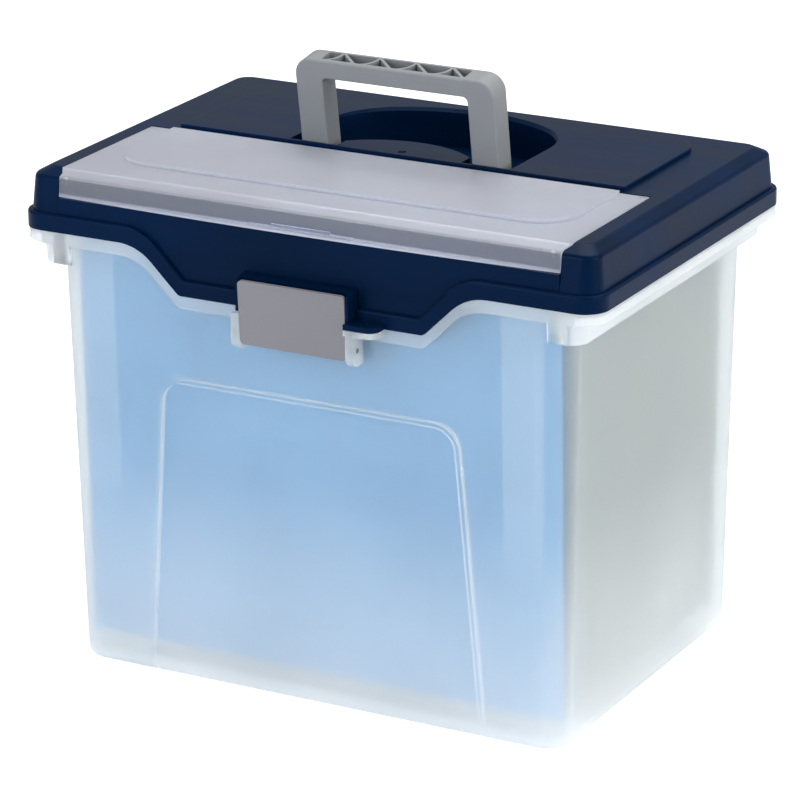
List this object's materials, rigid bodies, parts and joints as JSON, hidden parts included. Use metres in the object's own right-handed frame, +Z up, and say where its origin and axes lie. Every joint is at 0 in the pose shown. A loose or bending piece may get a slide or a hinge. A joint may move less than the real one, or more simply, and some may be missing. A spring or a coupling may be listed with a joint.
{
  "type": "portable file box",
  "caption": "Translucent letter-size file box with hanging folders, a latched hinged lid, a clear-topped organizer tray in the lid and a folding carrying handle.",
  "frame": {"origin": "middle of the flat base, at the height it stands on", "axes": "+Z up, -Y toward the latch side, +X along the front to the right of someone facing the latch"},
  "size_m": [0.356, 0.262, 0.343],
  "materials": {
    "frosted_body": "translucent frosted polypropylene",
    "navy_lid": "fine-grained satin polypropylene",
    "frosted_cover": "clear polypropylene with a frosted top",
    "grey_handle": "satin grey polypropylene",
    "grey_latch": "satin grey polypropylene",
    "steel_pin": "plain drawn steel",
    "rod_steel": "coated steel strip",
    "blue_paper": "uncoated light blue card",
    "sage_paper": "uncoated grey-green card"
  },
  "bodies": {
    "tub": {"file_tub": "frosted_body", "latch_pin": "steel_pin", "lid_hinge_pins": "steel_pin"},
    "lid": {"lid": "navy_lid", "lid_catch_block": "navy_lid"},
    "cover": {"organizer_cover": "frosted_cover"},
    "handle": {"handle": "grey_handle"},
    "latch": {"latch": "grey_latch"},
    "folder_01": {"folder_01": "blue_paper", "folder_01_front_rod": "rod_steel", "folder_01_rear_rod": "rod_steel"},
    "folder_02": {"folder_02": "sage_paper", "folder_02_front_rod": "rod_steel", "folder_02_rear_rod": "rod_steel"},
    "folder_03": {"folder_03": "sage_paper", "folder_03_front_rod": "rod_steel", "folder_03_rear_rod": "rod_steel"},
    "folder_04": {"folder_04": "sage_paper", "folder_04_front_rod": "rod_steel", "folder_04_rear_rod": "rod_steel"},
    "folder_05": {"folder_05": "sage_paper", "folder_05_front_rod": "rod_steel", "folder_05_rear_rod": "rod_steel"},
    "folder_06": {"folder_06": "sage_paper", "folder_06_front_rod": "rod_steel", "folder_06_rear_rod": "rod_steel"},
    "folder_07": {"folder_07": "sage_paper", "folder_07_front_rod": "rod_steel", "folder_07_rear_rod": "rod_steel"},
    "folder_08": {"folder_08": "sage_paper", "folder_08_front_rod": "rod_steel", "folder_08_rear_rod": "rod_steel"},
    "folder_09": {"folder_09": "sage_paper", "folder_09_front_rod": "rod_steel", "folder_09_rear_rod": "rod_steel"},
    "folder_10": {"folder_10": "sage_paper", "folder_10_front_rod": "rod_steel", "folder_10_rear_rod": "rod_steel"}
  },
  "joints": [
    {"name": "lid_hinge", "type": "hinge", "parent": "tub", "child": "lid", "pos_m": [0, 0.126, 0.26], "axis": [-1, 0, 0], "range_deg": [0, 105]},
    {"name": "organizer_cover_hinge", "type": "hinge", "parent": "lid", "child": "cover", "pos_m": [0, -0.0139, 0.2874], "axis": [-1, 0, 0], "range_deg": [0, 84]},
    {"name": "handle_fold", "type": "hinge", "parent": "lid", "child": "handle", "pos_m": [0, 0.003, 0.279], "axis": [-1, 0, 0], "range_deg": [0, 98]},
    {"name": "latch_pivot", "type": "hinge", "parent": "tub", "child": "latch", "pos_m": [0, -0.123, 0.217], "axis": [1, 0, 0], "range_deg": [0, 150]},
    {"name": "folder_01_slide", "type": "slide", "parent": "tub", "child": "folder_01", "axis": [0, 1, 0], "range_m": [-0.0036, 0.0051]},
    {"name": "folder_02_slide", "type": "slide", "parent": "tub", "child": "folder_02", "axis": [0, 1, 0], "range_m": [-0.0051, 0.0051]},
    {"name": "folder_03_slide", "type": "slide", "parent": "tub", "child": "folder_03", "axis": [0, 1, 0], "range_m": [-0.0051, 0.0051]},
    {"name": "folder_04_slide", "type": "slide", "parent": "tub", "child": "folder_04", "axis": [0, 1, 0], "range_m": [-0.0051, 0.0051]},
    {"name": "folder_05_slide", "type": "slide", "parent": "tub", "child": "folder_05", "axis": [0, 1, 0], "range_m": [-0.0051, 0.0051]},
    {"name": "folder_06_slide", "type": "slide", "parent": "tub", "child": "folder_06", "axis": [0, 1, 0], "range_m": [-0.0051, 0.0051]},
    {"name": "folder_07_slide", "type": "slide", "parent": "tub", "child": "folder_07", "axis": [0, 1, 0], "range_m": [-0.0051, 0.0051]},
    {"name": "folder_08_slide", "type": "slide", "parent": "tub", "child": "folder_08", "axis": [0, 1, 0], "range_m": [-0.0051, 0.0051]},
    {"name": "folder_09_slide", "type": "slide", "parent": "tub", "child": "folder_09", "axis": [0, 1, 0], "range_m": [-0.0051, 0.0051]},
    {"name": "folder_10_slide", "type": "slide", "parent": "tub", "child": "folder_10", "axis": [0, 1, 0], "range_m": [-0.0051, 0.012]}
  ]
}
